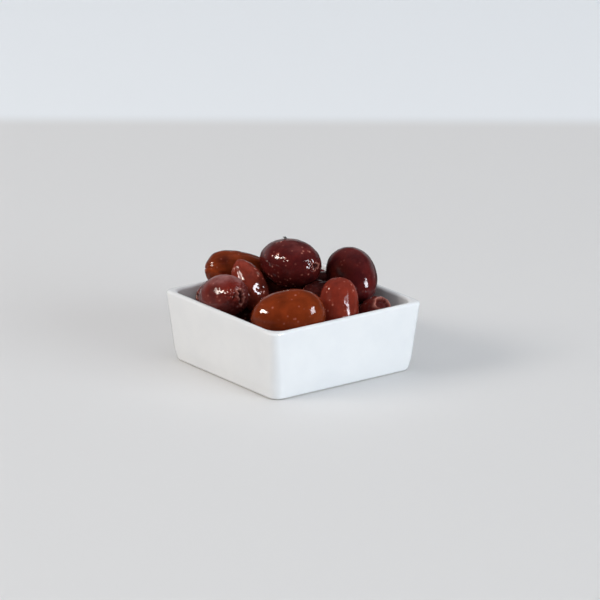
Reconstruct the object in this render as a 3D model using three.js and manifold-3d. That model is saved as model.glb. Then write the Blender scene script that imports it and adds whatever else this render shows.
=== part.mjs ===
// A small square white porcelain dish, heaped with dark Kalamata-type olives.
// Millimetres, +Z up. The origin is on the table under the middle of the dish, and the
// dish's straight sides run along X and Y.
import * as THREE from 'three';
import { mergeVertices } from 'three/addons/utils/BufferGeometryUtils.js';
import Module from 'manifold-3d';

const wasm = await Module();
wasm.setup();

// ---- Driving dimensions ----

const DISH_SIDE = 70; // across two opposite walls, outside, at the rim
const DISH_HEIGHT = 27.3; // table to the top of the rim
const RIM_THICKNESS = 2.5;
const RIM_ROUND = 1.1; // the rim's two edges
const OUTSIDE_LEAN = 0.08; // how far a wall comes in for each millimetre down
const INSIDE_LEAN = 0.08;
const WAIST_HEIGHT = 8; // the outside starts to curve under here
const WALL_BELLY = 0.2; // how far the outside swells between there and the lower edge
const UNDER_ROUND = 1.3; // the lower edge, turning under to the foot
const BASE_INSET = 2.5; // from the rim's outside to the widest part of the lower edge
const FOOT_WIDTH = 3;
const FOOT_RECESS = 0.8; // the underside inside the foot ring, above the table
const FLOOR_HEIGHT = 4.4; // the hollow's flat floor
const FLOOR_FILLET = 5; // floor to wall, inside
const OUTER_CORNER = 3; // upright corners, outside, at the rim
const BASE_CORNER = 4; // and from the waist down to the foot
const INNER_CORNER = 5.5; // upright corners of the hollow
const CORNER_STEPS = 5; // facets round each upright corner
const UNDER_STEPS = 4; // and up the lower edge,
const RIM_STEPS = 3; // each of the rim's rounds,
const FILLET_STEPS = 5; // and the hollow's fillet

const HEAP_GAP = 0.35; // between the olives and the glazed dish
const HEAP_HEADROOM = 30; // the olives may rise this far over the rim
const CORE_SHOULDER = 13; // the top of the heap's packed middle, at the walls
const CORE_SLOPE = 20; // and further in, at SLOPE_SHARE of the way out from the centre
const CORE_CROWN = 26; // and its flat crown, out to CROWN_SHARE
const SLOPE_SHARE = 0.7;
const CROWN_SHARE = 0.3;
const SLOPE_CORNER = 11;

const OLIVE_SIDES = 14;
const OLIVE_BANDS = 10; // from one tip to the other
const STEM_BLUNTNESS = 0.09; // the stem end is fuller than the pointed end

// Each olive: its middle, the compass heading and upward tilt in degrees of its stem end,
// and its length and greatest width. Heading 0 is +X and 90 is +Y.
const CROWN_OLIVES = [
  { at: [4.5, 8, 37], heading: -80, tilt: 0, length: 27, width: 19 },
  { at: [-6.5, 26.5, 31.7], heading: 160, tilt: 10, length: 25.5, width: 14.5 },
  { at: [-10.1, 13.7, 29.2], heading: -85, tilt: -50, length: 21, width: 13 },
  { at: [21.5, -9, 33], heading: 75, tilt: 25, length: 26, width: 18.5 },
];
const RIM_OLIVES = [
  { at: [-24.9, 10.5, 28.7], heading: -90, tilt: 15, length: 23, width: 16.6 },
  { at: [-17.2, -20.6, 27.5], heading: -33, tilt: 5, length: 27.6, width: 19.6 },
  { at: [4.4, -23.1, 27], heading: 53, tilt: 54, length: 24, width: 14.8 },
  { at: [18.5, -24.5, 22], heading: -75, tilt: 45, length: 19, width: 11.4 },
  { at: [7, -6.5, 26], heading: 45, tilt: 0, length: 22, width: 13.5 },
  { at: [20.5, 6, 24], heading: -15, tilt: -15, length: 24, width: 14.5 },
  { at: [10.5, 25, 23], heading: -5, tilt: 50, length: 24, width: 14.5 },
  { at: [23.5, 23, 19.5], heading: -45, tilt: 30, length: 22, width: 14 },
  { at: [-14.9, 24.2, 22], heading: 165, tilt: 16, length: 22, width: 14 },
  { at: [20.5, -7, 17], heading: 25, tilt: -15, length: 22, width: 14 },
  { at: [-9, -1, 19.5], heading: -70, tilt: 15, length: 25, width: 15.5 },
];
const FLOOR_OLIVES = [
  { at: [-23, 9, 12], heading: -90, tilt: 0, length: 24, width: 15 },
  { at: [-23, -18.5, 11.5], heading: -70, tilt: -5, length: 23, width: 14 },
  { at: [-3, -19, 12.5], heading: 0, tilt: -5, length: 25, width: 16 },
  { at: [23.5, -21, 11.5], heading: 65, tilt: 5, length: 22, width: 14 },
  { at: [5, 0, 13], heading: -65, tilt: -15, length: 24, width: 16 },
  { at: [-4, 18, 13], heading: -10, tilt: 15, length: 25, width: 16 },
  { at: [15, 13, 12], heading: -75, tilt: -5, length: 22, width: 15 },
];

const radians = THREE.MathUtils.degToRad;

// ---- Closed meshes ----

// Joins the vertices that meet and drops the triangles that this leaves flat.
function weld(geometry) {
  geometry.deleteAttribute('normal');
  geometry.deleteAttribute('uv');
  const welded = mergeVertices(geometry, 1e-4);
  const corners = welded.index.array;
  const kept = [];
  for (let i = 0; i < corners.length; i += 3) {
    const [a, b, c] = corners.slice(i, i + 3);
    if (a !== b && b !== c && c !== a) kept.push(a, b, c);
  }
  welded.setIndex(kept);
  return welded;
}

function solidOf(geometry) {
  return new wasm.Manifold(new wasm.Mesh({
    numProp: 3,
    vertProperties: new Float32Array(geometry.attributes.position.array),
    triVerts: new Uint32Array(geometry.index.array),
  }));
}

function geometryOf(solid) {
  const mesh = solid.getMesh();
  const geometry = new THREE.BufferGeometry();
  geometry.setAttribute('position', new THREE.BufferAttribute(mesh.vertProperties, 3));
  geometry.setIndex(new THREE.BufferAttribute(mesh.triVerts, 1));
  return geometry;
}

// ---- Square, round-cornered turned shapes ----

// One step round a square with rounded corners, CORNER_STEPS + 1 steps to a corner.
function squarePoint(half, corner, step) {
  const quarter = Math.floor(step / (CORNER_STEPS + 1)) % 4;
  const part = (step % (CORNER_STEPS + 1)) / CORNER_STEPS;
  const angle = (quarter + part) * Math.PI / 2;
  const middle = (quarter + 0.5) * Math.PI / 2;
  const reach = (half - corner) * Math.SQRT2;
  return [
    reach * Math.cos(middle) + corner * Math.cos(angle),
    reach * Math.sin(middle) + corner * Math.sin(angle),
  ];
}

// A profile of levels { half, z, corner } that starts and ends on the axis, carried
// round the square. It runs up the outside and down the inside.
function squareTurned(levels) {
  const steps = 4 * (CORNER_STEPS + 1);
  const profile = levels.map(({ half, z }) => new THREE.Vector2(half, z));
  const turned = new THREE.LatheGeometry(profile, steps);
  const position = turned.attributes.position;
  for (let i = 0; i < position.count; i += 1) {
    const { half, z, corner } = levels[i % levels.length];
    const step = Math.floor(i / levels.length) % steps;
    const [x, y] = squarePoint(half, Math.min(corner, half), step);
    position.setXYZ(i, x, y, z);
  }
  return weld(turned);
}

// Levels along a quarter or other part of a round, from one angle to another.
function roundLevels(half, z, radius, from, to, steps, corner) {
  const levels = [];
  for (let i = 0; i <= steps; i += 1) {
    const angle = radians(from + (to - from) * i / steps);
    levels.push({ half: half + radius * Math.cos(angle), z: z + radius * Math.sin(angle), corner });
  }
  return levels;
}

// ---- The dish ----

const rimHalf = DISH_SIDE / 2;
const hollowHalf = rimHalf - RIM_THICKNESS;
const rimStraight = DISH_HEIGHT - RIM_ROUND; // where the walls meet the rim's rounds
const floorHalf = hollowHalf - INSIDE_LEAN * (rimStraight - FLOOR_HEIGHT);

// The wall's outside from the foot to the rim, and the rim's rounds.
function outsideLevels() {
  const baseHalf = rimHalf - BASE_INSET;
  const waistHalf = rimHalf - OUTSIDE_LEAN * (rimStraight - WAIST_HEIGHT);
  const footHalf = baseHalf - UNDER_ROUND;
  const bellyHalf = (baseHalf + waistHalf) / 2 + WALL_BELLY;
  const bellyZ = (UNDER_ROUND + WAIST_HEIGHT) / 2;
  return [
    { half: 0, z: FOOT_RECESS, corner: 0 },
    { half: footHalf - FOOT_WIDTH - FOOT_RECESS, z: FOOT_RECESS, corner: INNER_CORNER },
    { half: footHalf - FOOT_WIDTH, z: 0, corner: BASE_CORNER },
    ...roundLevels(footHalf, UNDER_ROUND, UNDER_ROUND, -90, 0, UNDER_STEPS, BASE_CORNER),
    { half: bellyHalf, z: bellyZ, corner: BASE_CORNER },
    { half: waistHalf, z: WAIST_HEIGHT, corner: BASE_CORNER },
    ...roundLevels(rimHalf - RIM_ROUND, rimStraight, RIM_ROUND, 0, 90, RIM_STEPS, OUTER_CORNER),
  ];
}

// The hollow from the rim down to the middle of the floor, moved in by gap from the glaze.
function hollowLevels(gap) {
  const filletHalf = floorHalf - FLOOR_FILLET;
  const filletZ = FLOOR_HEIGHT + FLOOR_FILLET;
  return [
    ...roundLevels(filletHalf, filletZ, FLOOR_FILLET - gap, 0, -90, FILLET_STEPS, INNER_CORNER),
    { half: 0, z: FLOOR_HEIGHT + gap, corner: 0 },
  ];
}

// The rim's round towards the hollow, from the rim's top down, moved off the glaze by gap.
function innerRimLevels(gap) {
  const radius = RIM_ROUND + gap;
  return roundLevels(hollowHalf + RIM_ROUND, rimStraight, radius, 90, 180, RIM_STEPS, INNER_CORNER);
}

function dishGeometry() {
  return squareTurned([...outsideLevels(), ...innerRimLevels(0), ...hollowLevels(0)]);
}

// ---- The olives ----

function oliveGeometry({ at, heading, tilt, length, width }) {
  const profile = [];
  for (let band = 0; band <= OLIVE_BANDS; band += 1) {
    const angle = Math.PI * band / OLIVE_BANDS;
    const along = -Math.cos(angle);
    const around = Math.sin(angle) * (1 + STEM_BLUNTNESS * along);
    profile.push(new THREE.Vector2(width / 2 * around, length / 2 * along));
  }
  profile[0].x = 0;
  profile[OLIVE_BANDS].x = 0;
  const olive = new THREE.LatheGeometry(profile, OLIVE_SIDES);
  olive.rotateZ(radians(tilt - 90)); // the stem end, up the lathe's axis, comes down to the tilt
  olive.rotateX(Math.PI / 2);
  olive.rotateZ(radians(heading));
  olive.translate(...at);
  return weld(olive);
}

// The packed middle of the heap, which the loose olives are pressed on to.
function coreGeometry() {
  const shoulderHalf = floorHalf - FLOOR_FILLET / 2;
  return squareTurned([
    ...hollowLevels(HEAP_GAP).reverse(),
    { half: shoulderHalf, z: CORE_SHOULDER, corner: INNER_CORNER },
    { half: shoulderHalf * SLOPE_SHARE, z: CORE_SLOPE, corner: SLOPE_CORNER },
    { half: shoulderHalf * CROWN_SHARE, z: CORE_CROWN, corner: INNER_CORNER },
    { half: 0, z: CORE_CROWN, corner: 0 },
  ]);
}

// The room that the dish leaves for the heap: its hollow, and above it well past the rim.
function heapRoomGeometry() {
  const top = DISH_HEIGHT + HEAP_HEADROOM;
  return squareTurned([
    ...hollowLevels(HEAP_GAP).reverse(),
    ...innerRimLevels(HEAP_GAP).reverse(),
    { half: DISH_SIDE, z: DISH_HEIGHT + HEAP_GAP, corner: INNER_CORNER },
    { half: DISH_SIDE, z: top, corner: INNER_CORNER },
    { half: 0, z: top, corner: 0 },
  ]);
}

function heapGeometry() {
  const olives = [...CROWN_OLIVES, ...RIM_OLIVES, ...FLOOR_OLIVES];
  let heap = solidOf(coreGeometry());
  for (const olive of olives) heap = heap.add(solidOf(oliveGeometry(olive)));
  return geometryOf(heap.intersect(solidOf(heapRoomGeometry())));
}

// ---- The object ----

function named(name, geometry, color, roughness, metalness) {
  const mesh = new THREE.Mesh(geometry, new THREE.MeshStandardMaterial({ color, roughness, metalness }));
  mesh.name = name;
  return mesh;
}

const dishOfOlives = new THREE.Group();
dishOfOlives.add(
  named('dish', dishGeometry(), 0xe6e8e8, 0.15, 0),
  named('olives', heapGeometry(), 0x4a1a16, 0.25, 0),
);

export default dishOfOlives;
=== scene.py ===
# A small square white porcelain dish, heaped with whole dark olives.
# Metres, +Z up, in the CAD model's frame: the origin is on the table under the middle of
# the dish, and the dish's straight sides run along X and Y.
import math

import bmesh
import bpy
from mathutils import Matrix, Vector, noise
from mathutils.bvhtree import BVHTree


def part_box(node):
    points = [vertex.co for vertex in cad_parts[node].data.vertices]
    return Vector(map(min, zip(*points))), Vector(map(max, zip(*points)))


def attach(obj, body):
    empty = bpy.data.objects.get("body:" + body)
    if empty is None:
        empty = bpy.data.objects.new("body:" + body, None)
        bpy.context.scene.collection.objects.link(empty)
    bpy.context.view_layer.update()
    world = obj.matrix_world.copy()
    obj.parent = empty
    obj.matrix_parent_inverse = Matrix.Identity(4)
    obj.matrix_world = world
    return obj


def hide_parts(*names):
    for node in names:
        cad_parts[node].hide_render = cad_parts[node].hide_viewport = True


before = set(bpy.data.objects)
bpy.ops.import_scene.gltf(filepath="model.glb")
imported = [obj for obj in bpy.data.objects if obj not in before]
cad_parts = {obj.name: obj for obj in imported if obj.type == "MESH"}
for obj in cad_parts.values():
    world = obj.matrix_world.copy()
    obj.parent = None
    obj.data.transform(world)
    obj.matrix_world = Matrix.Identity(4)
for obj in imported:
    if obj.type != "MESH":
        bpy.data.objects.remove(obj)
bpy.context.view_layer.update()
dish_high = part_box("dish")[1]

MM = 0.001

# ---- The dish's sizes ----

RIM_HALF = dish_high.x
RIM_TOP = dish_high.z
RIM_THICKNESS = 2.5 * MM
RIM_ROUND = 1.1 * MM
WALL_LEAN = 0.08  # how far a wall comes in for each metre down
WAIST_HEIGHT = 8 * MM
WALL_BELLY = 0.2 * MM
UNDER_ROUND = 1.3 * MM
BASE_INSET = 2.5 * MM
FOOT_WIDTH = 3 * MM
FOOT_RECESS = 0.8 * MM
FLOOR_HEIGHT = 4.4 * MM
FLOOR_FILLET = 5 * MM
OUTER_CORNER = 3 * MM
BASE_CORNER = 4 * MM
INNER_CORNER = 5.5 * MM
WALL_WAVER = 0.12 * MM  # how far a fired wall strays from straight
WAVER_LENGTH = 30 * MM

HOLLOW_HALF = RIM_HALF - RIM_THICKNESS
RIM_STRAIGHT = RIM_TOP - RIM_ROUND
FLOOR_HALF = HOLLOW_HALF - WALL_LEAN * (RIM_STRAIGHT - FLOOR_HEIGHT)

CORNER_STEPS = 10
SIDE_STEPS = 14
RING_STEPS = 4 * (CORNER_STEPS + SIDE_STEPS)
ROUND_STEPS = 7
WALL_STEPS = 8

# ---- The olives ----

RUST = (0.225, 0.036, 0.007)
CHESTNUT = (0.262, 0.036, 0.020)
BRICK = (0.260, 0.034, 0.019)
MAROON = (0.080, 0.007, 0.009)
PLUM = (0.078, 0.007, 0.010)
MULBERRY = (0.125, 0.017, 0.014)
# Near-black skin, partly the olives' own and partly painted shade, for the olives in the shaded gaps beside
# the top olive.
INK_AND_SHADE = (0.018, 0.003, 0.004)

# The mark that the stalk leaves: its radius and depth, the lip round it, how ragged its
# edge is, the pleats drawn in towards it, how far the skin near it is crumpled, how dark the
# hollow is coloured and how pale the lip is. The radius, depth, lip, pleats and crumple are
# in millimetres.
SCARS = {
    "neat": {"radius": 1.2, "depth": 0.6, "lip": 0.12, "ragged": 0.20, "pleats": 0.06,
             "crumple": 0.000, "hollow_darkness": 0.85, "pale": 0.55},
    "puckered": {"radius": 1.5, "depth": 0.9, "lip": 0.35, "ragged": 0.85, "pleats": 0.14,
                 "crumple": 0.625, "hollow_darkness": 0.85, "pale": 0.60},
    "torn": {"radius": 2.2, "depth": 1.1, "lip": 0.45, "ragged": 0.90, "pleats": 0.16,
             "crumple": 1.500, "hollow_darkness": 0.90, "pale": 0.70},
    "open": {"radius": 3.4, "depth": 2.4, "lip": 0.55, "ragged": 0.55, "pleats": 0.12,
             "crumple": 0.375, "hollow_darkness": 0.30, "pale": 1.00},
}

# What an olive is like where its own entry says nothing else: its scar, how far that is
# shifted up and how deep the creases, lumps and wrinkles are, in millimetres, how crinkled
# and dotted its skin is, the pale dots being partly lenticels and partly painted glints, how much
# bloom it has, how much fuller the stem end is and how square the olive is in profile.
ORDINARY = {
    "scar": "neat", "rise": 0.0, "crease": 0.10, "lumps": 0.30, "wrinkle": 0.05,
    "crinkle": 0.5, "bloom": 0.05, "blunt": 0.09, "square": 0.0,
}

# Each olive: its middle, the compass heading and upward tilt in degrees of its stem end,
# its length and greatest width in millimetres, its skin's colour, and what is special to it.
CROWN_OLIVES = [
    {"at": (4.5, 8, 37), "heading": -80, "tilt": 0, "length": 27, "width": 19, "skin": MAROON,
     "scar": "puckered", "rise": 1.5, "crease": 0.0, "lumps": 0.25, "bloom": 0.15, "crinkle": 0.8},
    {"at": (-6.5, 26.5, 31.7), "heading": 160, "tilt": 10, "length": 25.5, "width": 14.5,
     "skin": RUST, "crease": 0.30, "lumps": 0.50, "square": 0.10, "blunt": 0.12, "crinkle": 0.3},
    {"at": (-10.1, 13.7, 29.2), "heading": -85, "tilt": -50, "length": 21, "width": 13,
     "skin": CHESTNUT, "crease": 0.20, "lumps": 0.60, "wrinkle": 0.20, "crinkle": 1.0, "bloom": 0.10},
    {"at": (21.5, -9, 33), "heading": 75, "tilt": 25, "length": 26, "width": 18.5, "skin": PLUM,
     "crease": 0.05, "lumps": 0.25, "bloom": 0.10, "crinkle": 0.15},
]
FRONT_OLIVES = [
    {"at": (-24.9, 10.5, 28.7), "heading": -90, "tilt": 15, "length": 23, "width": 16.6,
     "skin": MULBERRY, "scar": "torn", "wrinkle": 0.04, "crinkle": 0.4, "bloom": 0.90},
    {"at": (-17.2, -20.6, 27.5), "heading": -33, "tilt": 5, "length": 27.6, "width": 19.6,
     "skin": RUST, "crease": 0.0, "lumps": 0.25, "bloom": 0.0, "square": 0.12, "crinkle": 0.4},
    {"at": (4.4, -23.1, 27), "heading": 53, "tilt": 54, "length": 24, "width": 14.8, "skin": BRICK,
     "crease": 0.08, "wrinkle": 0.12, "square": 0.14, "crinkle": 0.8},
    {"at": (18.5, -24.5, 22), "heading": -75, "tilt": 45, "length": 19, "width": 11.4,
     "skin": MULBERRY, "scar": "open", "crinkle": 0.8},
    {"at": (7, -6.5, 26), "heading": 45, "tilt": 0, "length": 22, "width": 13.5, "skin": INK_AND_SHADE,
     "scar": "puckered", "crease": 0.20, "lumps": 0.45, "wrinkle": 0.55, "crinkle": 1.0},
]
BACK_OLIVES = [
    {"at": (20.5, 6, 24), "heading": -15, "tilt": -15, "length": 24, "width": 14.5, "skin": INK_AND_SHADE,
     "scar": "puckered", "crease": 0.20, "lumps": 0.35},
    {"at": (10.5, 25, 23), "heading": -5, "tilt": 50, "length": 24, "width": 14.5, "skin": CHESTNUT,
     "crease": 0.15, "lumps": 0.35},
    {"at": (23.5, 23, 19.5), "heading": -45, "tilt": 30, "length": 22, "width": 14, "skin": MAROON,
     "scar": "puckered", "crease": 0.25, "lumps": 0.35},
    {"at": (-14.9, 24.2, 22), "heading": 165, "tilt": 16, "length": 22, "width": 14, "skin": MULBERRY},
    {"at": (20.5, -7, 17), "heading": 25, "tilt": -15, "length": 22, "width": 14, "skin": MAROON,
     "crease": 0.15},
    {"at": (-9, -1, 19.5), "heading": -70, "tilt": 15, "length": 25, "width": 15.5, "skin": PLUM,
     "scar": "puckered", "crease": 0.20, "lumps": 0.35},
]
FLOOR_OLIVES = [
    {"at": (-23, 9, 12), "heading": -90, "tilt": 0, "length": 24, "width": 15, "skin": MAROON},
    {"at": (-23, -18.5, 11.5), "heading": -70, "tilt": -5, "length": 23, "width": 14, "skin": PLUM},
    {"at": (-3, -19, 12.5), "heading": 0, "tilt": -5, "length": 25, "width": 16, "skin": CHESTNUT},
    {"at": (23.5, -21, 11.5), "heading": 65, "tilt": 5, "length": 22, "width": 14, "skin": MAROON},
    {"at": (5, 0, 13), "heading": -65, "tilt": -15, "length": 24, "width": 16, "skin": PLUM},
    {"at": (-4, 18, 13), "heading": -10, "tilt": 15, "length": 25, "width": 16, "skin": MAROON},
    {"at": (15, 13, 12), "heading": -75, "tilt": -5, "length": 22, "width": 15, "skin": CHESTNUT},
]

# Marks of single olives: where each is and how far it reaches in millimetres, how deep its
# dent is, below 0 for a swelling, how it tints the skin, and what share of the bloom and of
# the wetness it leaves. A mark is plain where its own entry says nothing else.
PLAIN_MARK = {"dent": 0.0, "tint": (1.0, 1.0, 1.0), "bloom": 1.0, "wet": 1.0}
MARKS = [
    # The long rust olive at the back: a dark spot, a dimple and a drier end.
    {"at": (-14.1, 24.6, 37.6), "reach": 2.4, "dent": 0.15, "tint": (0.25, 0.20, 0.30)},
    {"at": (-15.5, 23.2, 32.6), "reach": 1.4, "dent": 0.30, "tint": (0.60, 0.40, 0.60)},
    {"at": (-18.6, 27.0, 34.1), "reach": 1.7, "wet": 0.0},
    # The top olive's drier flank.
    {"at": (-4.6, 6.8, 36.8), "reach": 2.6, "wet": 0.3},
    # The left olive: a red patch, skin rubbed free of bloom, a bulge and a dry side,
    {"at": (-27.0, 2.2, 35.2), "reach": 3.6, "tint": (1.70, 1.10, 0.90), "bloom": 0.1},
    {"at": (-29.0, 2.0, 31.5), "reach": 5.5, "bloom": 0.1},
    {"at": (-28.0, 0.6, 33.0), "reach": 3.2, "dent": -1.00},
    {"at": (-31.8, 8.5, 33.0), "reach": 4.0, "tint": (0.90, 0.90, 0.90), "wet": -0.2},
    # and its torn stalk end, dull and lightened as a painted highlight, with two holes and three warts,
    # paler partly as red flesh and partly as painted highlights.
    {"at": (-26.4, -1.3, 31.8), "reach": 3.2, "tint": (1.30, 1.10, 1.00), "bloom": 0.1, "wet": 0.1},
    {"at": (-26.2, -0.2, 33.3), "reach": 1.1, "dent": 0.90, "tint": (0.15, 0.20, 0.20), "bloom": 0.1},
    {"at": (-27.8, -0.3, 31.9), "reach": 0.8, "dent": 0.60, "tint": (0.20, 0.25, 0.30), "bloom": 0.1},
    {"at": (-26.9, -0.9, 30.3), "reach": 0.9, "dent": -0.35, "tint": (1.60, 1.50, 1.40), "bloom": 0.2},
    {"at": (-28.9, 0.4, 31.4), "reach": 0.8, "dent": -0.30, "tint": (1.80, 1.80, 1.60), "bloom": 0.2},
    {"at": (-24.0, -0.6, 30.6), "reach": 1.0, "dent": -0.35, "tint": (1.50, 1.30, 1.20), "bloom": 0.2},
    # Painted shadow of the top olive on the drier left side of the plum olive on the right, and the drier
    # left side of the brick one before it.
    {"at": (13.5, -11.5, 36.0), "reach": 8.0, "tint": (0.12, 0.20, 0.20), "bloom": 0.1, "wet": -0.4},
    {"at": (-0.4, -23.6, 32.8), "reach": 3.5, "tint": (0.90, 0.85, 0.80), "wet": -0.6},
    {"at": (4.2, -27.7, 33.6), "reach": 4.2, "wet": 0.1},
    # More painted shadow of the top olive on the plum olive's left side.
    {"at": (13.5, -6.0, 36.0), "reach": 5.0, "tint": (0.25, 0.40, 0.50), "bloom": 0.1, "wet": 0.0},
    # Painted shade on the underside of the top olive, and on the side of the chestnut one that faces it.
    {"at": (-2.0, 1.0, 31.5), "reach": 7.0, "tint": (0.40, 0.45, 0.50), "bloom": 0.5, "wet": 0.8},
    {"at": (-8.6, 8.0, 31.0), "reach": 4.0, "tint": (0.35, 0.40, 0.50), "bloom": 0.6},
    # The front olive's drier lower skin, a little darkened as painted shade where it lies against the wall.
    {"at": (-24.2, -27.7, 26.5), "reach": 6.5, "tint": (0.90, 0.85, 0.80), "wet": 0.2},
    {"at": (-15.0, -31.5, 27.0), "reach": 6.5, "wet": 0.2},
]
FAINTEST_MARK = 0.02  # the share under which a mark no longer counts

FRONT_SIDES, FRONT_RINGS = 92, 80
BACK_SIDES, BACK_RINGS = 60, 52
FLOOR_SIDES, FLOOR_RINGS = 40, 34
STEM_CROWDING = 1.5  # packs the rings closer round the stalk scar
SAME_POINT = 0.001 * MM
TIP_LENGTH = 0.5 * MM  # the little point at the other end
TIP_RADIUS = 1.4 * MM
SEED_STEPS = (7.31, 3.17, 5.83)  # carries each olive to a part of the noise of its own
SKIN_SPREAD = 10  # and its skin's finish still farther
LUMP_LENGTH = 8 * MM
SMALL_LUMPS = 0.4  # how deep the smaller lumps are beside the larger ones
SMALL_LUMP_PITCH = 2.3  # and how many times closer together
WRINKLE_LENGTH = 1.9 * MM
CREASE_WIDTH = 0.14  # how far a crease reaches to each side of the noise's zero line
CREASE_CROWDING = 1.7  # how closely the creases follow each other round the olive
CREASE_WANDER = 0.6  # and how far they wander from one end to the other
CREASE_LEAST = 0.35  # the share of its depth that a crease keeps where it is faint
EDGE_PITCH = 1.4  # how often a scar's ragged edge goes in and out
EDGE_SHARE = 0.6  # the share of a scar's radius that its wall takes
EDGE_START = 0.15  # and how far down the wall already is at the edge
LIP_WIDTH = 0.42 * MM
LIP_PITCH = 2.3  # how often the lip swells and thins round the scar
LIP_MIDDLE, LIP_SPREAD = 0.6, 0.8  # how high it is in the middle, and how much that varies
PLEATS = 8
PLEAT_REACH = 1.6 * MM
PLEAT_WANDER = 5  # how unevenly the pleats are spaced
CRUMPLE_LENGTH = 1.1 * MM
CRUMPLE_REACH = 3.4 * MM
CRUMPLE_MIDDLE = 0.2  # noise under this sinks the skin, and noise over it lifts it
HOLLOW_DRY = 0.8  # the share of its wetness that the hollow of a scar has lost
# The bloom is left mostly on the upper skin, as the skin's own bloom and a painted sheen on top.
SIDE_BLOOM_SHARE = 0.12  # the share of the bloom on skin that faces sideways or down
TOP_SHEEN_FROM = 0.55  # how far up the skin faces where the bloom begins to thicken
PRESS_ROUNDS = 2
PRESS_GAP = 0.03 * MM
GLAZE_GAP = 0.05 * MM
GLAZE_SOFTNESS = 0.15 * MM
GLAZE_REACH = 5 * GLAZE_SOFTNESS


def smooth(value):
    """0 to 1 with soft ends."""
    value = min(1.0, max(0.0, value))
    return value * value * (3 - 2 * value)


def bell(distance, width):
    """1 at no distance, falling softly to 0 over a few widths."""
    return math.exp(-((distance / width) ** 2))


def sort_faces(bm):
    """Puts the faces in the order of their points.

    Extrude and spin leave them in another order in each run, and a search for the nearest
    face settles ties by that order, so without this no two heaps would be quite the same.
    """
    bm.verts.index_update()
    count = len(bm.verts)
    bm.faces.sort(key=lambda face: face.verts[0].index * count + face.verts[1].index)


# ---- Square shells with rounded corners ----


def square_point(half, corner, step):
    """One step round a square with rounded corners."""
    quarter, part = divmod(step, CORNER_STEPS + SIDE_STEPS)
    turn = min(part / CORNER_STEPS, 1)
    along = max(part - CORNER_STEPS, 0) / SIDE_STEPS
    angle = (quarter + turn) * math.pi / 2
    middle = (quarter + 0.5) * math.pi / 2
    reach = (half - corner) * math.sqrt(2)
    point = Vector((reach * math.cos(middle), reach * math.sin(middle)))
    point += corner * Vector((math.cos(angle), math.sin(angle)))
    side = Vector((-math.sin(angle), math.cos(angle)))
    return point + side * along * 2 * (half - corner)


def round_levels(half, height, radius, start, end, corner):
    """Levels along a part of a round, from one angle to another, in degrees."""
    levels = []
    for step in range(ROUND_STEPS + 1):
        angle = math.radians(start + (end - start) * step / ROUND_STEPS)
        levels.append((half + radius * math.cos(angle), height + radius * math.sin(angle), corner))
    return levels


def straight_levels(first, last, steps=WALL_STEPS):
    """The levels strictly between two others."""
    shares = [step / steps for step in range(1, steps)]
    return [tuple(a + (b - a) * share for a, b in zip(first, last)) for share in shares]


def square_shell(levels):
    """A closed shell through levels (half side, height, corner radius)."""
    bm = bmesh.new()
    step_of = bm.verts.layers.int.new("step")
    ring = bmesh.ops.create_circle(bm, cap_ends=True, radius=1, segments=RING_STEPS)["verts"]
    for step, vert in enumerate(ring):
        vert[step_of] = step
    edges = list(bm.edges)
    for number, (half, height, corner) in enumerate(levels):
        if number:
            grown = bmesh.ops.extrude_edge_only(bm, edges=edges)["geom"]
            ring = [part for part in grown if isinstance(part, bmesh.types.BMVert)]
            fresh = set(ring)
            edges = [
                part for part in grown
                if isinstance(part, bmesh.types.BMEdge) and fresh.issuperset(part.verts)
            ]
        for vert in ring:
            vert.co.xy = square_point(half, min(corner, half), vert[step_of])
            vert.co.z = height
    bmesh.ops.contextual_create(bm, geom=edges)
    bmesh.ops.recalc_face_normals(bm, faces=bm.faces)
    sort_faces(bm)
    return bm


def hollow_levels(gap):
    """The hollow from its fillet down to the floor, moved in by gap from the glaze."""
    half = FLOOR_HALF - FLOOR_FILLET
    height = FLOOR_HEIGHT + FLOOR_FILLET
    return round_levels(half, height, FLOOR_FILLET - gap, 0, -90, INNER_CORNER)


# ---- The porcelain dish ----


def porcelain_dish():
    """The dish from its recessed underside up the outside, over the rim and down the hollow."""
    base_half = RIM_HALF - BASE_INSET
    foot_half = base_half - UNDER_ROUND
    waist_half = RIM_HALF - WALL_LEAN * (RIM_STRAIGHT - WAIST_HEIGHT)
    belly_half = (base_half + waist_half) / 2 + WALL_BELLY
    belly_height = (UNDER_ROUND + WAIST_HEIGHT) / 2
    waist = (waist_half, WAIST_HEIGHT, BASE_CORNER)
    outer_rim = round_levels(RIM_HALF - RIM_ROUND, RIM_STRAIGHT, RIM_ROUND, 0, 90, OUTER_CORNER)
    inner_rim = round_levels(HOLLOW_HALF + RIM_ROUND, RIM_STRAIGHT, RIM_ROUND, 90, 180, INNER_CORNER)
    hollow = hollow_levels(0)
    levels = [
        (foot_half - FOOT_WIDTH - FOOT_RECESS, FOOT_RECESS, INNER_CORNER),
        (foot_half - FOOT_WIDTH, 0, BASE_CORNER),
        *round_levels(foot_half, UNDER_ROUND, UNDER_ROUND, -90, 0, BASE_CORNER),
        (belly_half, belly_height, BASE_CORNER),
        waist,
        *straight_levels(waist, outer_rim[0]),
        *outer_rim,
        *inner_rim,
        *straight_levels(inner_rim[-1], hollow[0]),
        *hollow,
    ]
    bm = square_shell(levels)
    for vert in bm.verts:
        waver = noise.noise(vert.co / WAVER_LENGTH) * WALL_WAVER
        height_share = smooth(vert.co.z / WAIST_HEIGHT)
        vert.co.xy -= vert.co.xy.normalized() * abs(waver) * height_share
    return bm


# ---- The olives' shapes ----


def olive_profile(olive, rings):
    """Points (radius, height) from the middle of the stem end to the pointed end."""
    power = 1 - olive["square"]
    points = []
    for ring in range(rings + 1):
        angle = math.pi * (ring / rings) ** STEM_CROWDING
        along = math.copysign(abs(math.cos(angle)) ** power, math.cos(angle))
        around = max(math.sin(angle), 0) ** power * (1 + olive["blunt"] * along)
        points.append((olive["width"] / 2 * MM * around, olive["length"] / 2 * MM * along))
    points[-1] = (0, points[-1][1])
    return points


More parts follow.
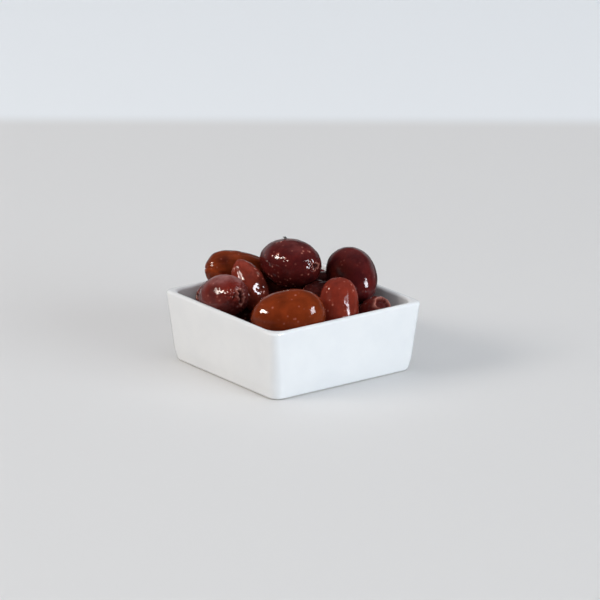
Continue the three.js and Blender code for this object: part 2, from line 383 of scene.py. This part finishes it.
def turned_olive(olive, sides, rings):
    """An olive's plain body, its stem end up the Z axis."""
    bm = bmesh.new()
    profile = [bm.verts.new((radius, 0, height)) for radius, height in olive_profile(olive, rings)]
    edges = [bm.edges.new(pair) for pair in zip(profile, profile[1:])]
    bmesh.ops.spin(
        bm, geom=profile + edges, axis=(0, 0, 1), cent=(0, 0, 0),
        angle=math.tau, steps=sides, use_merge=True,
    )
    bmesh.ops.remove_doubles(bm, verts=bm.verts, dist=SAME_POINT)
    bmesh.ops.recalc_face_normals(bm, faces=bm.faces)
    sort_faces(bm)
    return bm


def uneven_skin(olive, co, around, along, offset):
    """How far lumps, creases and wrinkles lift the skin, in millimetres."""
    lump = noise.noise(co / LUMP_LENGTH + offset)
    lump += SMALL_LUMPS * noise.noise(co / LUMP_LENGTH * SMALL_LUMP_PITCH + offset)
    wander = Vector((0, 0, along * CREASE_WANDER))
    course = noise.noise(around * CREASE_CROWDING + wander + offset)
    crease = smooth(1 - abs(course) / CREASE_WIDTH)
    strength = smooth(0.5 + noise.noise(co / LUMP_LENGTH - offset))
    crease *= CREASE_LEAST + (1 - CREASE_LEAST) * strength
    wrinkle = noise.noise(co / WRINKLE_LENGTH - offset)
    return lump * olive["lumps"] + wrinkle * olive["wrinkle"] - crease * olive["crease"]


def stalk_scar(olive, co, offset):
    """How far the skin sinks and crumples, in millimetres, how pale the lip is, and the hollow."""
    scar = SCARS[olive["scar"]]
    # Once the olive is laid, up is along the negative X of this upright one.
    from_scar = Vector((co.x + olive["rise"] * MM, co.y, 0))
    reach = from_scar.length
    bearing = from_scar.normalized()
    edge = scar["radius"] * MM * (1 + scar["ragged"] * noise.noise(bearing * EDGE_PITCH + offset * 2))
    hollow = smooth((edge - reach) / (EDGE_SHARE * edge) + EDGE_START)
    lip = bell(reach - edge, LIP_WIDTH)
    lip *= LIP_MIDDLE + LIP_SPREAD * noise.noise(bearing * LIP_PITCH - offset)
    wander = PLEAT_WANDER * noise.noise(bearing + offset)
    pleat = math.sin(PLEATS * math.atan2(from_scar.y, from_scar.x) + wander)
    pleat *= bell(reach - edge, PLEAT_REACH) * smooth(reach / edge - 0.5)
    fold = abs(noise.noise(co / CRUMPLE_LENGTH + offset)) - CRUMPLE_MIDDLE
    fold *= bell(reach - edge, CRUMPLE_REACH) * (1 - hollow)
    sunk = scar["depth"] * hollow - scar["lip"] * lip - scar["pleats"] * pleat
    return sunk, fold * scar["crumple"], max(lip, 0) * scar["pale"], hollow


def sculpt_olive(bm, olive, seed):
    """Lumps, creases, the pointed tip and the stalk scar, with what the skin's finish reads."""
    place_of = bm.verts.layers.float_vector.new("skin_place")
    colour_of = bm.verts.layers.float_color.new("skin_colour")
    marks_of = bm.verts.layers.float_vector.new("skin_marks")
    wet_of = bm.verts.layers.float.new("skin_wet")
    half_length = olive["length"] / 2 * MM
    half_width = olive["width"] / 2 * MM
    hollow_darkness = SCARS[olive["scar"]]["hollow_darkness"]
    offset = Vector([seed * step for step in SEED_STEPS])
    for vert in bm.verts:
        x, y, z = vert.co
        around = Vector((x, y, 0)).normalized()
        outward = Vector((x / half_width**2, y / half_width**2, z / half_length**2)).normalized()
        vert[place_of] = vert.co + offset * MM * SKIN_SPREAD
        swell = uneven_skin(olive, vert.co, around, z / half_length, offset)
        if z > 0:
            sunk, crumple, pale, hollow = stalk_scar(olive, vert.co, offset)
            swell += crumple
        else:
            sunk = bell(math.hypot(x, y), TIP_RADIUS) * TIP_LENGTH / MM
            pale, hollow = 0, 0
        vert.co += outward * swell * MM
        vert.co.z -= sunk * MM
        vert[colour_of] = (*olive["skin"], olive["bloom"])
        vert[marks_of] = (pale, hollow * hollow_darkness, olive["crinkle"])
        vert[wet_of] = 1 - HOLLOW_DRY * hollow


def lay_olive(bm, olive):
    """Turns an upright olive to its heading and tilt and carries it to its place in the heap."""
    turn = Matrix.Rotation(math.radians(olive["heading"]), 4, "Z")
    turn @= Matrix.Rotation(math.radians(90 - olive["tilt"]), 4, "Y")
    place = Matrix.Translation(Vector(olive["at"]) * MM)
    bmesh.ops.transform(bm, matrix=place @ turn, verts=bm.verts)


def corners_of(bm):
    """The lowest and highest corners of a mesh."""
    low = Vector(min(vert.co[axis] for vert in bm.verts) for axis in range(3))
    high = Vector(max(vert.co[axis] for vert in bm.verts) for axis in range(3))
    return low, high


def press_apart(bm, neighbour, corners):
    """Moves what of a skin is inside its neighbour back by half of its depth there."""
    low, high = corners
    moves = []
    for vert in bm.verts:
        co = vert.co
        if any(co[axis] < low[axis] or co[axis] > high[axis] for axis in range(3)):
            continue
        near, normal, _, distance = neighbour.find_nearest(co)
        if (co - near).dot(normal) < 0:
            moves.append((vert, normal * (distance / 2 + PRESS_GAP)))
    for vert, move in moves:
        vert.co += move


def clear_glaze(bm, glaze):
    """Rounds a skin off softly where it comes to the glaze of the dish."""
    for vert in bm.verts:
        if vert.co.z > RIM_TOP + GLAZE_REACH:
            continue
        near, normal, _, _ = glaze.find_nearest(vert.co)
        clear = (vert.co - near).dot(normal) - GLAZE_GAP
        if clear < GLAZE_REACH:
            kept = GLAZE_SOFTNESS * math.log1p(math.exp(clear / GLAZE_SOFTNESS))
            vert.co += normal * (kept - clear)


def settle(skins, dish):
    """Flattens olives a little where they lie against each other, and clears the glaze."""
    for _ in range(PRESS_ROUNDS):
        trees = [BVHTree.FromBMesh(bm) for bm in skins]
        boxes = [corners_of(bm) for bm in skins]
        for bm in skins:
            for other, tree, box in zip(skins, trees, boxes):
                if other is not bm:
                    press_apart(bm, tree, box)
    glaze = BVHTree.FromBMesh(dish)
    for bm in skins:
        clear_glaze(bm, glaze)


def bloom_with_top_sheen(bm):
    """Leaves most of the bloom on the upper side, where it is partly a painted sheen."""
    colour_of = bm.verts.layers.float_color["skin_colour"]
    bm.normal_update()
    for vert in bm.verts:
        upward = smooth((vert.normal.z - TOP_SHEEN_FROM) / (1 - TOP_SHEEN_FROM))
        vert[colour_of].w *= SIDE_BLOOM_SHARE + (1 - SIDE_BLOOM_SHARE) * upward


def leave_marks(bm):
    """The marks of single olives, on the olives that they reach."""
    colour_of = bm.verts.layers.float_color["skin_colour"]
    wet_of = bm.verts.layers.float["skin_wet"]
    low, high = corners_of(bm)
    for special in MARKS:
        mark = PLAIN_MARK | special
        place = Vector(mark["at"]) * MM
        reach = mark["reach"] * MM
        if any(place[axis] < low[axis] - reach or place[axis] > high[axis] + reach for axis in range(3)):
            continue
        tint = Vector(mark["tint"])
        for vert in bm.verts:
            share = bell((vert.co - place).length, reach)
            if share < FAINTEST_MARK:
                continue
            own = vert[colour_of]
            for channel in range(3):
                own[channel] *= 1 + (tint[channel] - 1) * share
            own.w *= 1 + (mark["bloom"] - 1) * share
            vert[wet_of] *= 1 + (mark["wet"] - 1) * share
            vert.co -= vert.normal * mark["dent"] * MM * share


def whole_olives(dish):
    """Every olive of the heap, settled against its neighbours, as separate closed skins."""
    rows = [
        (CROWN_OLIVES + FRONT_OLIVES, FRONT_SIDES, FRONT_RINGS),
        (BACK_OLIVES, BACK_SIDES, BACK_RINGS),
        (FLOOR_OLIVES, FLOOR_SIDES, FLOOR_RINGS),
    ]
    skins = []
    for olives, sides, rings in rows:
        for special in olives:
            olive = ORDINARY | special
            bm = turned_olive(olive, sides, rings)
            sculpt_olive(bm, olive, len(skins) + 1)
            lay_olive(bm, olive)
            skins.append(bm)
    settle(skins, dish)
    for bm in skins:
        bloom_with_top_sheen(bm)
        leave_marks(bm)
    return skins


# ---- The packed middle under the olives ----

MIDDLE_GAP = 0.15 * MM
MIDDLE_INSET = FLOOR_FILLET / 3
MIDDLE_SHOULDER = 7.5 * MM
MIDDLE_CROWN = 11 * MM
MIDDLE_TAPER = 12  # how many times wider the shoulder is than the crown
MIDDLE_STEPS = 14
MIDDLE_LUMPS = 1.6 * MM
MIDDLE_LUMP_LENGTH = 7 * MM


def packed_middle():
    """The lumpy bed that fills the floor of the dish."""
    shoulder_half = FLOOR_HALF - MIDDLE_INSET
    fillet = [level for level in hollow_levels(MIDDLE_GAP) if level[1] < MIDDLE_SHOULDER]
    fillet.reverse()
    shoulder = (shoulder_half, MIDDLE_SHOULDER, INNER_CORNER)
    crown = (shoulder_half / MIDDLE_TAPER, MIDDLE_CROWN, INNER_CORNER)
    bm = square_shell([*fillet, shoulder, *straight_levels(shoulder, crown, MIDDLE_STEPS), crown])
    for vert in bm.verts:
        if vert.co.z > MIDDLE_SHOULDER:
            vert.co.z += noise.noise(vert.co / MIDDLE_LUMP_LENGTH) * MIDDLE_LUMPS
    return bm


# ---- A bit of stalk, caught on the top olive ----

STALK_PLACE = Vector((4.9, 11.0, 60)) * MM  # the stub is under this point
STALK_LENGTH = 1.3 * MM
STALK_RADIUS = 0.72 * MM
STALK_SUNK = 0.4 * MM
STALK_SIDES = 14
STALK_RINGS = 5
STALK_BEND = 0.06 * MM  # how much farther each ring is shifted than the one under it
STALK_KNOB_RING = 3  # the ring that swells into a knob, while the others narrow
STALK_KNOB = 1.18
STALK_TAPER = 0.92
STALK_ROUGHNESS = 0.06 * MM
STALK_ROUGH_LENGTH = 0.5 * MM
STALK_NOISE_STEP = Vector((0, 0, 7.3))  # makes the roughness along Y differ from that along X


def stalk_stub(top_olive):
    """A short bent stub with a knob near its end."""
    foot, normal, _, _ = BVHTree.FromBMesh(top_olive).ray_cast(STALK_PLACE, Vector((0, 0, -1)))
    bm = bmesh.new()
    bmesh.ops.create_circle(bm, cap_ends=True, radius=STALK_RADIUS, segments=STALK_SIDES)
    face = list(bm.faces)
    for ring in range(STALK_RINGS):
        grown = bmesh.ops.extrude_face_region(bm, geom=face)["geom"]
        face = [part for part in grown if isinstance(part, bmesh.types.BMFace)]
        verts = [part for part in grown if isinstance(part, bmesh.types.BMVert)]
        bmesh.ops.translate(bm, verts=verts, vec=(STALK_BEND * ring, 0, STALK_LENGTH / STALK_RINGS))
        middle = sum((vert.co for vert in verts), Vector()) / len(verts)
        swell = STALK_KNOB if ring == STALK_KNOB_RING else STALK_TAPER
        bmesh.ops.scale(bm, verts=verts, vec=(swell, swell, 1), space=Matrix.Translation(-middle))
    for vert in bm.verts:
        # noise_vector isn't used, because it gives other values in each run.
        place = vert.co / STALK_ROUGH_LENGTH
        rough = Vector((noise.noise(place), noise.noise(place + STALK_NOISE_STEP)))
        vert.co.xy += rough * STALK_ROUGHNESS
    bmesh.ops.recalc_face_normals(bm, faces=bm.faces)
    sort_faces(bm)
    lean = normal.to_track_quat("Z", "Y").to_matrix().to_4x4()
    place = Matrix.Translation(foot - normal * STALK_SUNK)
    bmesh.ops.transform(bm, matrix=place @ lean, verts=bm.verts)
    return bm


# ---- Shader nodes ----


def put(tree, value, socket):
    """Links a value into a socket, or sets it there where it is a plain one."""
    if isinstance(value, bpy.types.NodeSocket):
        tree.links.new(value, socket)
    else:
        socket.default_value = value


def add(tree, kind, inputs=None, **settings):
    """A shader node with its settings and unlinked or linked inputs."""
    node = tree.nodes.new(kind)
    for name, value in settings.items():
        setattr(node, name, value)
    for name, value in (inputs or {}).items():
        put(tree, value, node.inputs[name])
    return node


def feed(tree, node, sockets):
    """Links outputs into a node's inputs by name."""
    for name, output in sockets.items():
        tree.links.new(output, node.inputs[name])


def times(tree, first, second):
    """One value times another."""
    return add(tree, "ShaderNodeMath", {0: first, 1: second}, operation="MULTIPLY").outputs[0]


def add_scaled(tree, value, scale, base):
    """A value times a scale, added to a base."""
    return add(tree, "ShaderNodeMath", {0: value, 1: scale, 2: base}, operation="MULTIPLY_ADD").outputs[0]


def ramp(tree, value, low, high, low_value, high_value):
    """Carries a value softly from one level to another between low and high."""
    return add(
        tree, "ShaderNodeMapRange",
        {"Value": value, "From Min": low, "From Max": high, "To Min": low_value, "To Max": high_value},
        interpolation_type="SMOOTHSTEP",
    ).outputs[0]


def between(tree, share, low_value, high_value):
    """The value at a share of the way between two others."""
    return add(
        tree, "ShaderNodeMapRange", {"Value": share, "To Min": low_value, "To Max": high_value}
    ).outputs[0]


def blend_colour(tree, share, first, second):
    """Mixes two colours by a share from 0 to 1."""
    mix = add(tree, "ShaderNodeMix", data_type="RGBA")
    for value, socket in ((share, mix.inputs[0]), (first, mix.inputs[6]), (second, mix.inputs[7])):
        put(tree, value, socket)
    return mix.outputs[2]


def new_group(name, inputs, outputs):
    """An empty shader node group with named sockets."""
    group = bpy.data.node_groups.new(name, "ShaderNodeTree")
    for label, kind, default in inputs:
        socket = group.interface.new_socket(label, in_out="INPUT", socket_type=kind)
        if default is not None:
            socket.default_value = default
    for label, kind in outputs:
        group.interface.new_socket(label, in_out="OUTPUT", socket_type=kind)
    return group, group.nodes.new("NodeGroupInput"), group.nodes.new("NodeGroupOutput")


def speckle_group():
    """Small round spots, one to a cell, on only a share of the cells."""
    group, given, made = new_group(
        "speckles",
        [
            ("Place", "NodeSocketVector", None),
            ("Spacing", "NodeSocketFloat", 0.003),
            ("Radius", "NodeSocketFloat", 0.15),
            ("Share", "NodeSocketFloat", 0.5),
        ],
        [("Mask", "NodeSocketFloat")],
    )
    scale = add(group, "ShaderNodeMath", {0: 1.0, 1: given.outputs["Spacing"]}, operation="DIVIDE")
    cells = add(
        group, "ShaderNodeTexVoronoi",
        {"Vector": given.outputs["Place"], "Scale": scale.outputs[0], "Randomness": 1.0},
    )
    spot = ramp(group, cells.outputs["Distance"], 0.0, given.outputs["Radius"], 1.0, 0.0)
    draw = add(group, "ShaderNodeSeparateColor", {0: cells.outputs["Color"]})
    kept = add(
        group, "ShaderNodeMath", {0: draw.outputs[0], 1: given.outputs["Share"]}, operation="LESS_THAN"
    )
    group.links.new(times(group, spot, kept.outputs[0]), made.inputs["Mask"])
    return group


def mottle_group():
    """Soft cloudy variation from 0 to 1 round a middle of 0.5."""
    group, given, made = new_group(
        "mottling",
        [
            ("Place", "NodeSocketVector", None),
            ("Patch", "NodeSocketFloat", 0.004),
            ("Contrast", "NodeSocketFloat", 1.0),
        ],
        [("Value", "NodeSocketFloat")],
    )
    scale = add(group, "ShaderNodeMath", {0: 1.0, 1: given.outputs["Patch"]}, operation="DIVIDE")
    cloud = add(
        group, "ShaderNodeTexNoise",
        {"Vector": given.outputs["Place"], "Scale": scale.outputs[0], "Detail": 3.0, "Roughness": 0.55},
    )
    centred = add(group, "ShaderNodeMath", {0: cloud.outputs[0], 1: 0.5}, operation="SUBTRACT")
    spread = add(
        group, "ShaderNodeMath",
        {0: centred.outputs[0], 1: given.outputs["Contrast"], 2: 0.5},
        operation="MULTIPLY_ADD", use_clamp=True,
    )
    group.links.new(spread.outputs[0], made.inputs["Value"])
    return group


SPECKLES = speckle_group()
MOTTLING = mottle_group()


def mottling(tree, place, patch, contrast):
    """The mottling group's value at a place."""
    inputs = {"Place": place, "Patch": patch, "Contrast": contrast}
    return add(tree, "ShaderNodeGroup", inputs, node_tree=MOTTLING).outputs["Value"]


def speckles(tree, place, spacing, radius, share):
    """The speckles group's mask at a place; the radius is in spacings."""
    inputs = {"Place": place, "Spacing": spacing, "Radius": radius, "Share": share}
    return add(tree, "ShaderNodeGroup", inputs, node_tree=SPECKLES).outputs["Mask"]


# ---- Finishes ----

GREYER_GLAZE = (0.80, 0.81, 0.82, 1)
WHITER_GLAZE = (0.86, 0.865, 0.865, 1)
GLAZE_SPECK = (0.30, 0.25, 0.20, 1)
SPECK_STRENGTH = 0.55
GLAZE_ROUGHNESS = (0.10, 0.17)
FIRED_CLAY = (0.74, 0.70, 0.63, 1)
FIRED_ROUGHNESS = 0.65
BARE_BELOW = 0.15 * MM  # the foot ring is bare of glaze up to here,
GLAZED_ABOVE = 0.45 * MM  # and fully glazed from here

DEEP_SKIN = (0.006, 0.001, 0.002, 1)
FLUSHED_SKIN = (0.60, 0.07, 0.03, 1)
DOT_AND_GLINT = (0.70, 0.26, 0.19, 1)
SCAR_LIP = (0.66, 0.26, 0.20, 1)
SCAR_HOLLOW = (0.030, 0.003, 0.004, 1)
BLOOM_AND_SHEEN = (0.44, 0.20, 0.19, 1)
DEEP_SHARE = 0.55  # how far an olive's own colour goes towards deep and flushed skin
FLUSH_SHARE = 0.10
GRAIN_SHARE = 0.25
SKIN_ROUGHNESS = (0.22, 0.38)
WET_UNDER_BLOOM = (1.0, 0.35)  # how wet the skin is without bloom, and under full bloom
FINE_RELIEF = 0.10  # the finest ripples' and the dots' height, as shares of the crinkle's
DOT_RELIEF = 0.8

DARK_FLESH = (0.014, 0.003, 0.003, 1)
RED_FLESH = (0.060, 0.010, 0.009, 1)
DARK_STALK = (0.13, 0.135, 0.135, 1)
PALE_STALK = (0.32, 0.32, 0.31, 1)


def new_material(name):
    """A material with its Principled shader, to be fed."""
    material = bpy.data.materials.new(name)
    material.use_nodes = True
    return material, material.node_tree, material.node_tree.nodes["Principled BSDF"]


def porcelain_finish():
    """White glaze, a little uneven, over a bare fired foot."""
    material, tree, shader = new_material("white_glaze")
    place = add(tree, "ShaderNodeTexCoord").outputs["Object"]
    cloud = mottling(tree, place, patch=14 * MM, contrast=1.6)
    glaze = blend_colour(tree, cloud, GREYER_GLAZE, WHITER_GLAZE)
    specks = speckles(tree, place, spacing=9 * MM, radius=0.012, share=0.30)
    glaze = blend_colour(tree, times(tree, specks, SPECK_STRENGTH), glaze, GLAZE_SPECK)
    height = add(tree, "ShaderNodeSeparateXYZ", {0: place}).outputs["Z"]
    bare = add(
        tree, "ShaderNodeMapRange",
        {"Value": height, "From Min": BARE_BELOW, "From Max": GLAZED_ABOVE, "To Min": 1.0, "To Max": 0.0},
    ).outputs[0]
    colour = blend_colour(tree, bare, glaze, FIRED_CLAY)
    gloss = between(tree, cloud, *GLAZE_ROUGHNESS)
    roughness = add(tree, "ShaderNodeMix", {0: bare, 2: gloss, 3: FIRED_ROUGHNESS})
    peel = add(tree, "ShaderNodeTexNoise", {"Vector": place, "Scale": 260.0, "Detail": 1.0})
    bump = add(tree, "ShaderNodeBump", {"Strength": 0.12, "Distance": 0.05 * MM, "Height": peel.outputs[0]})
    feed(tree, shader, {"Base Color": colour, "Roughness": roughness.outputs[0], "Normal": bump.outputs[0]})
    shader.inputs["IOR"].default_value = 1.5
    return material


def skin_finish():
    """Wet olive skin: mottled, crinkled and dotted with lenticels and painted glints, with a dull scar and
    some pale bloom that is partly a painted sheen on top.
    """
    material, tree, shader = new_material("wet_olive_skin")
    place = add(tree, "ShaderNodeAttribute", attribute_name="skin_place").outputs["Vector"]
    own = add(tree, "ShaderNodeAttribute", attribute_name="skin_colour")
    marks = add(tree, "ShaderNodeAttribute", attribute_name="skin_marks").outputs["Vector"]
    lip, hollow, crinkle = add(tree, "ShaderNodeSeparateXYZ", {0: marks}).outputs
    own_wet = add(tree, "ShaderNodeAttribute", attribute_name="skin_wet").outputs["Fac"]

    clouds = mottling(tree, place, patch=5 * MM, contrast=1.8)
    grain = mottling(tree, place, patch=0.8 * MM, contrast=1.8)
    deep = blend_colour(tree, DEEP_SHARE, own.outputs["Color"], DEEP_SKIN)
    flushed = blend_colour(tree, FLUSH_SHARE, own.outputs["Color"], FLUSHED_SKIN)
    colour = blend_colour(tree, clouds, deep, flushed)
    colour = blend_colour(tree, times(tree, grain, GRAIN_SHARE), colour, deep)

    # Pale dots: partly lenticels, and partly painted glints of light on small bumps.
    dotted = mottling(tree, place, patch=5 * MM, contrast=5.0)
    dots = speckles(tree, place, spacing=2.2 * MM, radius=0.30, share=0.9)
    dots = times(tree, times(tree, dots, dotted), crinkle)
    colour = blend_colour(tree, dots, colour, DOT_AND_GLINT)
    colour = blend_colour(tree, lip, colour, SCAR_LIP)
    colour = blend_colour(tree, hollow, colour, SCAR_HOLLOW)

    # The bloom is partly the skin's own pale film and partly a painted sheen, being left mostly on the
    # upper side.
    film = mottling(tree, place, patch=3 * MM, contrast=1.6)
    bloom = times(tree, film, own.outputs["Alpha"])
    colour = blend_colour(tree, bloom, colour, BLOOM_AND_SHEEN)
    roughness = between(tree, grain, *SKIN_ROUGHNESS)
    wet = times(tree, between(tree, bloom, *WET_UNDER_BLOOM), own_wet)

    ripple = add(tree, "ShaderNodeTexNoise", {"Vector": place, "Scale": 620.0, "Detail": 2.0})
    fine = add(tree, "ShaderNodeTexNoise", {"Vector": place, "Scale": 2600.0, "Detail": 2.0})
    relief = times(tree, ripple.outputs[0], crinkle)
    relief = add_scaled(tree, fine.outputs[0], FINE_RELIEF, relief)
    relief = add_scaled(tree, dots, DOT_RELIEF, relief)
    bump = add(tree, "ShaderNodeBump", {"Strength": 1.0, "Distance": 0.12 * MM, "Height": relief})
    feed(tree, shader, {
        "Base Color": colour, "Roughness": roughness,
        "Coat Weight": wet, "Normal": bump.outputs[0], "Coat Normal": bump.outputs[0],
    })
    shader.inputs["Coat Roughness"].default_value = 0.04
    shader.inputs["Coat IOR"].default_value = 1.36
    shader.inputs["Specular IOR Level"].default_value = 0.004
    return material


def middle_finish():
    """The dark, wet underside of the heap."""
    material, tree, shader = new_material("packed_olive_flesh")
    place = add(tree, "ShaderNodeTexCoord").outputs["Object"]
    clouds = mottling(tree, place, patch=4 * MM, contrast=2.0)
    colour = blend_colour(tree, clouds, DARK_FLESH, RED_FLESH)
    relief = add(tree, "ShaderNodeTexNoise", {"Vector": place, "Scale": 700.0, "Detail": 3.0})
    bump = add(tree, "ShaderNodeBump", {"Strength": 0.5, "Distance": 0.2 * MM, "Height": relief.outputs[0]})
    feed(tree, shader, {"Base Color": colour, "Normal": bump.outputs[0]})
    shader.inputs["Roughness"].default_value = 0.3
    return material


def stalk_finish():
    """Grey, dried stalk."""
    material, tree, shader = new_material("dried_stalk")
    place = add(tree, "ShaderNodeTexCoord").outputs["Object"]
    clouds = mottling(tree, place, patch=0.5 * MM, contrast=2.0)
    colour = blend_colour(tree, clouds, DARK_STALK, PALE_STALK)
    bump = add(tree, "ShaderNodeBump", {"Strength": 0.6, "Distance": 0.1 * MM, "Height": clouds})
    feed(tree, shader, {"Base Color": colour, "Normal": bump.outputs[0]})
    shader.inputs["Roughness"].default_value = 0.6
    return material


# ---- Pieces ----


def piece_of(name, bodies, finish):
    """A shown piece from one or more closed meshes, smooth, at the origin."""
    mesh = bpy.data.meshes.new(name)
    joined = bmesh.new()
    for bm in bodies:
        part = bpy.data.meshes.new("part")
        bm.to_mesh(part)
        joined.from_mesh(part)
        bpy.data.meshes.remove(part)
    for face in joined.faces:
        face.smooth = True
    joined.to_mesh(mesh)
    joined.free()
    mesh.materials.append(finish)
    piece = bpy.data.objects.new(name, mesh)
    bpy.context.scene.collection.objects.link(piece)
    return piece


dish_shell = porcelain_dish()
olive_skins = whole_olives(dish_shell)

dish_piece = piece_of("porcelain_dish", [dish_shell], porcelain_finish())
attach(dish_piece, "root")
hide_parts("dish")

olives_piece = piece_of("whole_olives", olive_skins, skin_finish())
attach(olives_piece, "root")
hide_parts("olives")

middle_piece = piece_of("packed_middle", [packed_middle()], middle_finish())
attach(middle_piece, "root")

stalk_piece = piece_of("stalk_stub", [stalk_stub(olive_skins[0])], stalk_finish())
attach(stalk_piece, "root")

# ---- The table, the light and the camera ----

VIEW_AZIMUTH = math.radians(-36.87)
VIEW_ELEVATION = math.radians(17.43)
VIEW_ROLL = math.radians(0.2)
VIEW_DISTANCE = 1.9675
VIEW_TARGET = Vector((2.22, -1.66, 25.37)) * MM
VIEW_LENS = 313.1
VIEW_CLIP = 50
SENSOR = 36
AWAY = Vector((-math.sin(VIEW_AZIMUTH), math.cos(VIEW_AZIMUTH), 0))
SOFTBOX_DISTANCE = 3.0
WINDOW_DISTANCE = 2.7

TABLE_HALF = 1.2
TABLE_PAINT = (0.72, 0.715, 0.71, 1)
FAR_PAINT = (0.85, 0.876, 0.90, 1)
MIRRORED_PAINT = (0.10, 0.10, 0.10, 1)  # what wet skin shows of the table
FAR_STRIP = 0.345  # from here back the table is a little paler
FAR_BLUR = 0.012

ROOM_LOW = 0.145  # the room's light from the side and from overhead
ROOM_HIGH = 1.14
ROOM_CURVE = 2.0  # how late it brightens on the way up
ROOM_LIGHT = (0.94, 0.96, 1.0, 1)
ROOM_SEEN = (0.71, 0.75, 0.78, 1)
ROOM_MIRRORED = (0.94, 0.97, 1.0, 1)
DARK_ROOM = 0.04  # what wet skin reflects: a dark room, with a pale wall low behind the dish
PALE_WALL = 0.45
WALL_SIDES = (0.3, 0.8)  # how squarely behind the dish the wall begins and is full
WALL_TOP = (0.15, 0.45)  # and how high it begins to fade and ends


def outward(azimuth, elevation):
    """The direction from the dish towards an azimuth and elevation."""
    level = math.cos(elevation)
    return Vector((math.sin(azimuth) * level, -math.cos(azimuth) * level, math.sin(elevation)))


def table_finish():
    """Pale painted table, paler where it runs back."""
    material, tree, shader = new_material("pale_table")
    place = add(tree, "ShaderNodeTexCoord").outputs["Object"]
    depth = add(tree, "ShaderNodeVectorMath", {0: place, 1: AWAY}, operation="DOT_PRODUCT")
    far = ramp(tree, depth.outputs["Value"], FAR_STRIP - FAR_BLUR, FAR_STRIP + FAR_BLUR, 0.0, 1.0)
    colour = blend_colour(tree, far, TABLE_PAINT, FAR_PAINT)
    ray = add(tree, "ShaderNodeLightPath").outputs["Is Glossy Ray"]
    colour = blend_colour(tree, ray, colour, MIRRORED_PAINT)
    feed(tree, shader, {"Base Color": colour})
    shader.inputs["Roughness"].default_value = 0.7
    shader.inputs["Specular IOR Level"].default_value = 0.2
    return material


def table():
    """A plain table top under the dish."""
    bm = bmesh.new()
    bmesh.ops.create_grid(bm, x_segments=1, y_segments=1, size=TABLE_HALF)
    floor = piece_of("table_top", [bm], table_finish())


def lamp(name, distance, side, height, width, tall, watts, colour):
    """A rectangular light, side degrees round from the camera and height degrees up."""
    light = bpy.data.lights.new(name, "AREA")
    light.shape = "RECTANGLE"
    light.size = width
    light.size_y = tall
    light.energy = watts
    light.color = colour
    fixture = bpy.data.objects.new(name, light)
    direction = outward(VIEW_AZIMUTH + math.radians(side), math.radians(height))
    fixture.location = direction * distance
    fixture.rotation_euler = direction.to_track_quat("Z", "Y").to_euler()
    bpy.context.scene.collection.objects.link(fixture)
    return fixture


def softbox(name, **made):
    """A large soft light that makes no highlight."""
    lamp(name, SOFTBOX_DISTANCE, **made).visible_glossy = False


def window(name, **made):
    """A small bright window that shows only in reflections."""
    lamp(name, WINDOW_DISTANCE, **made).visible_diffuse = False


def glowing(tree, colour, strength):
    """A background's light of one colour and strength."""
    return add(tree, "ShaderNodeBackground", {"Color": colour, "Strength": strength}).outputs[0]


def light_for(tree, ray, others, own):
    """One light for a kind of ray, and another for the rest."""
    return add(tree, "ShaderNodeMixShader", {0: ray, 1: others, 2: own}).outputs[0]


def room_light():
    """Pale to the camera, brighter overhead as light, and mostly dark in reflections."""
    world = bpy.data.worlds.new("room")
    world.use_nodes = True
    tree = world.node_tree
    tree.nodes.clear()
    ray = add(tree, "ShaderNodeLightPath")
    toward = add(tree, "ShaderNodeTexCoord").outputs["Generated"]
    height = add(tree, "ShaderNodeSeparateXYZ", {0: toward}).outputs["Z"]
    rise = add(tree, "ShaderNodeMath", {0: height, 1: ROOM_CURVE}, operation="POWER", use_clamp=True)
    glow = between(tree, rise.outputs[0], ROOM_LOW, ROOM_HIGH)
    behind = add(tree, "ShaderNodeVectorMath", {0: toward, 1: AWAY}, operation="DOT_PRODUCT")
    across = ramp(tree, behind.outputs["Value"], *WALL_SIDES, 0.0, 1.0)
    wall = times(tree, across, ramp(tree, height, *WALL_TOP, PALE_WALL, 0.0))
    dark = add(tree, "ShaderNodeMath", {0: wall, 1: DARK_ROOM}, operation="ADD").outputs[0]
    light = glowing(tree, ROOM_LIGHT, glow)
    light = light_for(tree, ray.outputs["Is Glossy Ray"], light, glowing(tree, ROOM_MIRRORED, dark))
    light = light_for(tree, ray.outputs["Is Camera Ray"], light, glowing(tree, ROOM_SEEN, 1.0))
    feed(tree, add(tree, "ShaderNodeOutputWorld"), {"Surface": light})
    bpy.context.scene.world = world


def camera():
    """A long lens, far back, looking down a little at the front corner."""
    data = bpy.data.cameras.new("view")
    data.lens = VIEW_LENS
    data.sensor_width = SENSOR
    data.clip_end = VIEW_CLIP
    eye = bpy.data.objects.new("view", data)
    back = outward(VIEW_AZIMUTH, VIEW_ELEVATION)
    eye.location = VIEW_TARGET + back * VIEW_DISTANCE
    turn = (-back).to_track_quat("-Z", "Y").to_matrix().to_4x4()
    eye.rotation_euler = (turn @ Matrix.Rotation(VIEW_ROLL, 4, "Z")).to_euler()
    bpy.context.scene.collection.objects.link(eye)
    bpy.context.scene.camera = eye


table()
softbox(
    "left_softbox", side=-75, height=30, width=1.6, tall=1.0, watts=42.3, colour=(1.0, 0.95, 0.89)
)
softbox(
    "right_softbox", side=56, height=14, width=2.2, tall=1.2, watts=57, colour=(0.84, 0.93, 1.0)
)
window(
    "left_window", side=-80, height=30, width=1.35, tall=0.42, watts=112, colour=(1.0, 0.93, 0.84)
)
window(
    "right_window", side=60, height=26, width=0.85, tall=1.1, watts=131, colour=(0.90, 0.92, 1.0)
)
room_light()
camera()
bpy.context.scene.view_settings.view_transform = "Standard"
